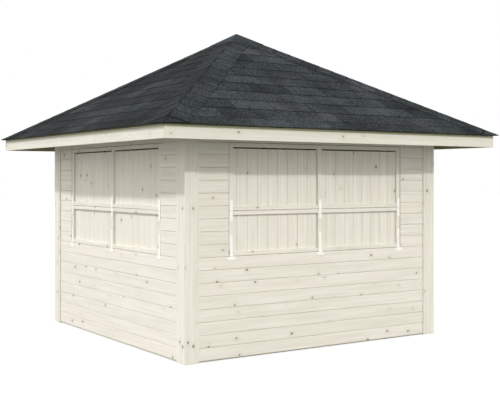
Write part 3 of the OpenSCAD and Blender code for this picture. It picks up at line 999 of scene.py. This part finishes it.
def screwPlaces():
    onBoards = -wall["boardFace"] - hinges["plate"]
    onLeaf = -wall["leafFace"] - hinges["plate"]
    split = (lowLeaf[1].z + highLeaf[0].z) / 2
    across, up = hinges["footScrews"]
    footMiddle = wall["sill"] - hinges["footHeight"] / 2
    places = []
    for x in (-wall["leafHalf"] + shutters["stile"] / 2, 0.0, wall["leafHalf"] - shutters["stile"] / 2):
        places += [(x + i * across, onBoards, footMiddle + j * up) for i in (-1, 1) for j in (-1, 1)]
        places += [(x, onLeaf, lowLeaf[0].z + z) for z in hinges["strapScrews"]]
        for number, z in enumerate(hinges["plateScrews"]):
            aside = hinges["plateStagger"] * (1 if number % 2 else -1)
            places += [(x + aside, onLeaf, split + z), (x - aside, onLeaf, split - z)]
    return places


head = screwHead()
screwPoints = linkObject("screwPlaces", newMesh("screwPlaces", screwPlaces()))
for number, side in enumerate(windowSides):
    heads = grow(screws, {"Points": screwPoints, "Head": head, "Seed": hinges["seed"] + number,
                          "Finish": hingeWhite})
    mesh = joined("hinges", [hingePlates(f"{side}_hinges"), turned(heads, side)])
    finishPiece(f"{side}Hinges", mesh, "hinge_white", f"{side}_hinges")
bpy.data.objects.remove(head)
bpy.data.objects.remove(screwPoints)
print("hinges built")


# Roof boards

deckBoards = {"cover": 0.095, "length": 4.2, "seed": 900, "shift": (30.0, 0.05, 0.02)}


def slopeValues(eavePlan, top):
    # Where rows start, for a layer whose top stands off the slope's plane by top
    return {"Eave": (eavePlan - top * math.sin(roof["pitch"])) / math.cos(roof["pitch"]),
            "Pitch": roof["pitch"], "Apex": roof["apex"], "Mitre": roof["mitre"]}


def deckSlope(seed):
    values = slopeValues(roof["deckEave"], roof["deck"])
    section = boardSection(deckBoards["cover"], roof["deck"])
    length = deckBoards["length"]
    template = boardTemplate("deckBoard", section, -length / 2, length / 2, lambda *spot: spot)
    rows = int(values["Eave"] / deckBoards["cover"])
    mesh = growCopies(slopeRows, template, {
        "Rows": rows, "Columns": 1, "Row Pitch": deckBoards["cover"], "First Row": deckBoards["cover"],
        "Column Pitch": length, "Stagger": 0.0, "Shift": deckBoards["shift"], "Seed": seed,
        "Finish": frameTimber, **values})
    # The deck's eave edge takes the lighter strip timber: painted light on an edge in the shade of the
    # shingle lip
    edge = roof["deckEave"] - roof["deck"]
    facing = timbers["facing"]
    return facedWith(cleaned(mesh), stripTimber,
                     lambda face: -face.normal.y > facing and -face.center.y > edge)


def eaveStrip(seed):
    # Mitred strip on the fascia, bevelled to the slope at its top and foot
    rise = math.tan(roof["pitch"])
    bm = bmesh.new()
    lines = []
    for out in (roof["deckEave"], roof["deckEave"] - roof["fascia"]):
        for drop in (0.0, roof["strip"]):
            z = roof["apex"] - out * rise - drop
            reach = out - roof["mitre"]
            lines.append([bm.verts.new((x, -out, z)) for x in (-reach, reach)])
    ring = [lines[i] for i in (0, 1, 3, 2)]
    for here, beside in zip(ring, ring[1:] + ring[:1]):
        bm.faces.new((here[0], beside[0], beside[1], here[1]))
    for tip in (0, 1):
        bm.faces.new([line[tip] for line in ring])
    bmesh.ops.recalc_face_normals(bm, faces=bm.faces)
    return timberMesh(bm, stripTimber, timbers["arris"], seed)


slopes = []
for number, side in enumerate(sideTurns):
    seed = deckBoards["seed"] + 2 * number
    slopes += [turned(deckSlope(seed), side), turned(eaveStrip(seed + 1), side)]
finishPiece("roofBoards", joined("deck", slopes), "frame_timber", "roof_deck")
print("roof boards built")


# Shingles

tabs = {
    "width": 0.43,
    "slot": 0.008,
    "course": 0.194,
    "firstCourse": 0.146,
    "thickness": 0.0029,
    "step": 0.003,
    "lapThickness": 0.0007,      # where the next course covers it
    "tail": 1.6,                 # full length, in courses
    "tailDrop": 0.0008,
    "tailThickness": 0.0003,
    "segments": 6,
    "stagger": 0.5,
    "bed": 0.0006,               # sheet under the tabs
    "bedClear": 0.0002,
    "bedShort": 0.02,            # how far it ends below the apex
    # Painted shade: the bed's low tone darkens the slots between the tabs
    "bedTone": 0.1,
    # Painted shade: tone taken off each slope, so that the slopes read darker, most on the left
    "slopeShade": {"front": 0.0, "right": -0.08, "back": -0.3, "left": -0.66},   # tone lost on each slope
    "seed": 40,
}


def tabTemplate():
    # One tab and its hidden upper half, in slope coordinates above the apex plane
    course = tabs["course"]
    top = roof["top"]
    lapped = top - tabs["step"]
    tail = lapped - tabs["tailDrop"]
    rows = [(0.0, top, top - tabs["thickness"]),
            (course, lapped, lapped - tabs["lapThickness"]),
            (tabs["tail"] * course, tail, tail - tabs["tailThickness"])]
    half = (tabs["width"] - tabs["slot"]) / 2
    columns = [half * (2 * i / tabs["segments"] - 1) for i in range(tabs["segments"] + 1)]
    points = [(x, up, off) for up, high, low in rows for off in (high, low) for x in columns]
    mesh = newMesh("tab", points, slabFaces(len(rows), len(columns)))
    storeGrain(mesh, [(x, up / course, 0.0) for x, up, off in points])
    return linkObject("tab", cleaned(mesh, outward=True))


def bedSheet():
    # Underlay of one slope, thicker along the eave as a starter strip
    tilt = Matrix.Translation((0, 0, roof["apex"])) @ Matrix.Rotation(roof["pitch"], 4, "X")
    low = roof["deck"] + tabs["bedClear"]
    high = low + tabs["bed"]
    start = slopeValues(roof["eave"], roof["top"])["Eave"]
    starter = roof["top"] - tabs["thickness"] - tabs["bedClear"]
    rows = [(0.0, starter), (tabs["firstCourse"], high), (start - tabs["bedShort"], high)]
    points = []
    for up, top in rows:
        for off in (top, low):
            place = tilt @ Vector((0.0, up - start, off))
            reach = -place.y - roof["mitre"]
            points += [(-reach, place.y, place.z), (reach, place.y, place.z)]
    mesh = newMesh("bed", points, slabFaces(len(rows), 2))
    storeGrain(mesh, [(x, 0.5, 0.0) for x, y, z in points])
    storeShare(mesh, "tone", [tabs["bedTone"]] * len(points))
    mesh.materials.append(shingleSheet)
    return cleaned(mesh, outward=True)


def shingleSlope(seed, slopeShade):
    values = slopeValues(roof["eave"], roof["top"])
    rows = math.ceil((values["Eave"] - tabs["firstCourse"]) / tabs["course"])
    columns = 2 * math.ceil(roof["eave"] / tabs["width"]) + 1
    mesh = growCopies(slopeRows, tabTemplate(), {
        "Rows": rows, "Columns": columns, "Row Pitch": tabs["course"], "First Row": tabs["firstCourse"],
        "Column Pitch": tabs["width"], "Stagger": tabs["stagger"], "Shift": (0.0, 0.0, 0.0), "Seed": seed,
        "Finish": shingleSheet, **values})
    # Painted shade: the slope's tones are lowered by its slope shade
    for tone in mesh.attributes["tone"].data:
        tone.value += slopeShade
    return joined("shingles", [cleaned(mesh), bedSheet()])


for number, side in enumerate(sideTurns):
    mesh = turned(shingleSlope(tabs["seed"] + number, tabs["slopeShade"][side]), side)
    finishPiece(f"{side}Shingles", mesh, "shingle", f"{side}_shingles")
print("shingles built")


# Hip caps and apex cap

hipCaps = {
    "width": 0.175,
    "exposure": 0.168,
    "firstLine": 0.185,    # from the eave corner to the first lap
    "lap": 0.040,
    "thickness": 0.002,
    "tilt": 0.0027,
    "stand": 0.0024,       # underside above the shingles
    "fold": 0.014,
    "foldEase": 0.0012,    # the fold is eased, not sharp
    "toneSpread": 0.4,
    "slopeShadeShare": 0.65,    # share of the slope's own painted shade
    "seed": 50,
}


def hipFrame():
    # Corner of the front and right slopes: the hip's direction, and for each slope its direction
    # away from the hip and its normal
    rise = math.tan(roof["pitch"])
    hip = Vector((-1.0, 1.0, rise)).normalized()
    wings = []
    for away, normal in (((-1, 0, 0), (0, -math.sin(roof["pitch"]), math.cos(roof["pitch"]))),
                         ((0, 1, 0), (math.sin(roof["pitch"]), 0, math.cos(roof["pitch"])))):
        square = Vector(away) - hip * hip.dot(Vector(away))
        wings.append((square.normalized(), Vector(normal)))
    return hip, wings


def capTemplate(start, length, atEave, foldShaded):
    hip, wings = hipFrame()
    corner = Vector((roof["eave"], -roof["eave"], roof["apex"] - roof["eave"] * math.tan(roof["pitch"])))
    bisector = (wings[0][1] + wings[1][1]).normalized()
    miter = bisector.dot(wings[0][1])
    bottom = roof["top"] + hipCaps["stand"]
    full = hipCaps["exposure"] + hipCaps["lap"]
    section = [(0, hipCaps["width"]), (0, hipCaps["width"] * 0.5), (0, hipCaps["fold"]), (0, 0.0),
               (1, hipCaps["fold"]), (1, hipCaps["width"] * 0.5), (1, hipCaps["width"])]
    points = []
    grain = []
    shares = (0.0, 0.5, 1.0)
    for share in shares:
        for layer in (hipCaps["thickness"], 0.0):
            for wing, away in section:
                square, normal = wings[wing]
                side = square * away + normal * (bottom + layer)
                if away < hipCaps["fold"]:
                    side = bisector * ((bottom + layer - hipCaps["foldEase"]) / miter)
                first = 0.0
                if atEave:
                    first = side.x / -hip.x if wing else -side.y / hip.y
                along = first + (length - first) * share
                sunk = normal * (hipCaps["tilt"] * along / full)
                points.append(corner + side + hip * (start + along) - sunk)
                grain.append((away if wing else -away, along / hipCaps["exposure"], float(foldShaded)))
    mesh = newMesh("cap", points, slabFaces(len(shares), len(section)))
    storeGrain(mesh, grain)
    return linkObject("cap", cleaned(mesh, outward=True)), hip


def capRow(start, length, count, seed, atEave=False, foldShaded=False):
    template, hip = capTemplate(start, length, atEave, foldShaded)
    return growCopies(memberRow, template, {
        "Count": count, "Step": hip * hipCaps["exposure"] * 2, "Shift": (0.0, 0.0, 0.0), "Seed": seed,
        "Finish": hipSheet, **untrimmed})


def slopeShadeCaps(mesh, side):
    # Painted shade: each wing takes a share of the painted shade of the slope that it lies on
    order = list(sideTurns)
    wings = (order[order.index(side)], order[(order.index(side) + 1) % len(order)])
    grain = mesh.attributes["grain"].data
    tones = mesh.attributes["tone"].data
    loss = {}
    for loop in mesh.loops:
        wing = wings[grain[loop.index].vector.x > 0.0]
        loss[loop.vertex_index] = tabs["slopeShade"][wing]
    for vertex, slopeShade in loss.items():
        spread = hipCaps["toneSpread"] * (tones[vertex].value - 0.5)
        tones[vertex].value = 0.5 + spread + hipCaps["slopeShadeShare"] * slopeShade
    return mesh


hipLength = roof["eave"] * math.sqrt(2.0 + math.tan(roof["pitch"]) ** 2)
length = hipCaps["exposure"] + hipCaps["lap"]
capCount = int((hipLength - hipCaps["firstLine"] - length) / hipCaps["exposure"]) + 1
rows = []
for number, side in enumerate(sideTurns):
    seed = hipCaps["seed"] + 3 * number
    first = hipCaps["firstLine"]
    second = first + hipCaps["exposure"]
    rows += [turned(slopeShadeCaps(mesh, side), side) for mesh in (
        capRow(0.0, first + hipCaps["lap"], 1, seed, atEave=True),
        # Every other cap takes the painted shade line along its fold
        capRow(first, length, (capCount + 1) // 2, seed + 1, foldShaded=True),
        capRow(second, length, capCount // 2, seed + 2))]
finishPiece("hipCaps", joined("hipCaps", rows), "shingle", "hip_caps")


apexCap = {
    "arris": 0.0005,
    "rimFrom": 0.1,        # points further out than this are on the rim
    "rimShare": 0.3,       # of the solid's thickness
    "tone": 0.4,
}


def apexCapMesh():
    # The rim is pressed down to a thin edge
    bm = fromNode("apex_cap")
    weld(bm)
    corners = {}
    for vert in bm.verts:
        if vert.co.xy.length > apexCap["rimFrom"]:
            corners.setdefault((vert.co.x > 0, vert.co.y > 0), []).append(vert)
    for verts in corners.values():
        low = min(verts, key=lambda vert: vert.co.z)
        high = max(verts, key=lambda vert: vert.co.z)
        high.co = low.co.lerp(high.co, apexCap["rimShare"])
    rim = [edge for edge in bm.edges if min(vert.co.xy.length for vert in edge.verts) > apexCap["rimFrom"]]
    easeEdges(bm, rim, apexCap["arris"])
    mesh = meshFrom(bm, "apexCap")
    storeShare(mesh, "tone", [apexCap["tone"]] * len(mesh.vertices))
    mesh.materials.append(capSheet)
    return mesh


finishPiece("apexCap", apexCapMesh(), "roof_cap", "apex_cap")
print("caps built")


# Floor, light and camera

studio = {
    "floorSize": 120.0,
    "floor": (0.35, 0.35, 0.34),
    "floorRough": 0.9,
    "floorGlow": 0.72,
    "ambient": (1.33, 0.95),     # from the left, from the right
    "suns": {
        "frontSun": {"travel": (-0.22, 1.0, -0.63), "strength": 1.19, "angle": 3.0,
                     "tint": (1.0, 1.0, 1.0)},
        "leftSun": {"travel": (1.0, -0.3, -1.11), "strength": 1.75, "angle": 3.0,
                    "tint": (0.98, 0.99, 1.04)},
    },
}


def floorMaterial():
    # Pale floor that reads white to the camera but throws only a soft bounce
    material, tree, shader = newMaterial("paleFloor")
    shader.inputs["Base Color"].default_value = (*studio["floor"], 1.0)
    shader.inputs["Roughness"].default_value = studio["floorRough"]
    shader.inputs["Specular IOR Level"].default_value = 0.0
    seen = tree.nodes.new("ShaderNodeLightPath").outputs["Is Camera Ray"]
    glow = mathNode(tree, "MULTIPLY", seen, studio["floorGlow"])
    shader.inputs["Emission Color"].default_value = (1.0, 1.0, 1.0, 1.0)
    tree.links.new(glow, shader.inputs["Emission Strength"])
    return material


def buildStudio():
    size = studio["floorSize"] / 2
    corners = [(-size, -size, 0), (size, -size, 0), (size, size, 0), (-size, size, 0)]
    mesh = newMesh("floor", corners, [(0, 1, 2, 3)])
    mesh.materials.append(floorMaterial())
    floor = linkObject("floor", mesh)
    lit = bpy.data.collections.new("sunlit")
    for made in scene.objects:
        if made.type == "MESH" and made is not floor:
            lit.objects.link(made)
    for name, sun in studio["suns"].items():
        light = bpy.data.lights.new(name, "SUN")
        light.energy = sun["strength"]
        light.color = sun["tint"]
        light.angle = math.radians(sun["angle"])
        lamp = linkObject(name, light)
        lamp.rotation_euler = Vector(sun["travel"]).to_track_quat("-Z", "Y").to_euler()
        lamp.light_linking.receiver_collection = lit
    world = bpy.data.worlds.new("studio")
    world.use_nodes = True
    tree = world.node_tree
    seen = tree.nodes.new("ShaderNodeLightPath").outputs["Is Camera Ray"]
    toward = tree.nodes.new("ShaderNodeTexCoord").outputs["Generated"]
    sideways = addNode(tree, "ShaderNodeSeparateXYZ", {0: toward}).outputs[0]
    dome = rangeNode(tree, sideways, -1.0, 1.0, *studio["ambient"])
    bright = rangeNode(tree, seen, 0.0, 1.0, dome, 1.0)
    sky = tree.nodes["Background"]
    tree.links.new(bright, sky.inputs["Strength"])
    sky.inputs["Color"].default_value = (1.0, 1.0, 1.0, 1.0)
    scene.world = world
    scene.view_settings.view_transform = "Standard"


view = {
    "place": (-5.3998, -8.3941, 1.6111),
    "turn": -33.612,             # degrees about Z
    "lens": 65.59,
    "sensor": 36.0,
    "shiftY": -0.0404,
}


def buildCamera():
    data = bpy.data.cameras.new("view")
    data.sensor_width = view["sensor"]
    data.lens = view["lens"]
    data.shift_y = view["shiftY"]
    camera = linkObject("view", data)
    camera.location = view["place"]
    camera.rotation_euler = (math.radians(90), 0.0, math.radians(view["turn"]))
    scene.camera = camera


buildStudio()
buildCamera()
print("studio and camera set")
